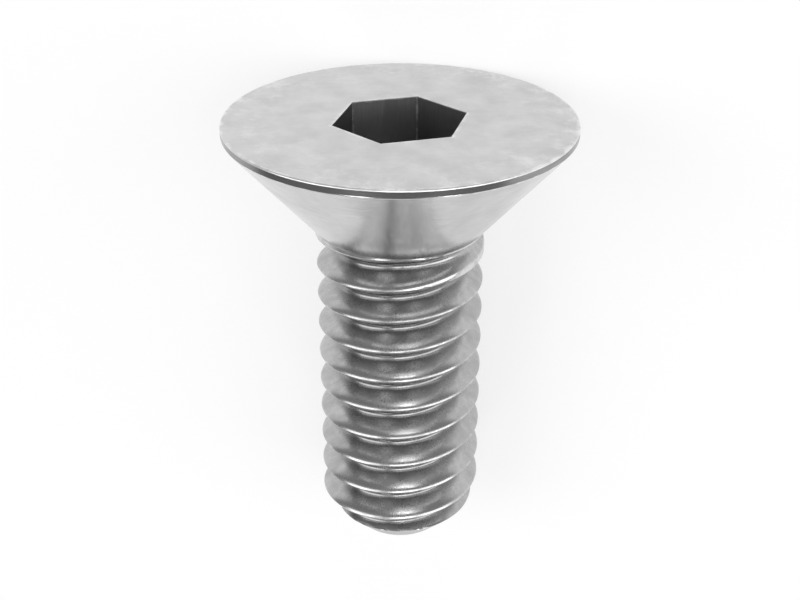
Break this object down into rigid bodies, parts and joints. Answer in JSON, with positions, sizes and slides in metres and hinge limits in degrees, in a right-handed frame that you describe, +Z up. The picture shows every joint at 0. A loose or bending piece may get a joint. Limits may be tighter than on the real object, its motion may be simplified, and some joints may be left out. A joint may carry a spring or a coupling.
{
  "type": "countersunk screw",
  "caption": "Short right-hand threaded machine screw with a flat countersunk head and a hexagon socket, for a flush fastening in a countersunk hole.",
  "frame": {"origin": "centre of the head's top face, on the screw's axis, in the mouth of the hexagon socket", "axes": "+Z up. The screw lies on its side on the rim of its head and the crests near its tip, with its axis in the YZ plane and the head at the +Y end. From the head to the tip the axis falls 11.8 degrees, because the head is wider than the shank"},
  "size_m": [0.0128, 0.0187, 0.0127],
  "materials": {
    "steel": "satin, lightly brushed, light grey"
  },
  "bodies": {
    "root": {"screw": "steel"}
  },
  "joints": []
}
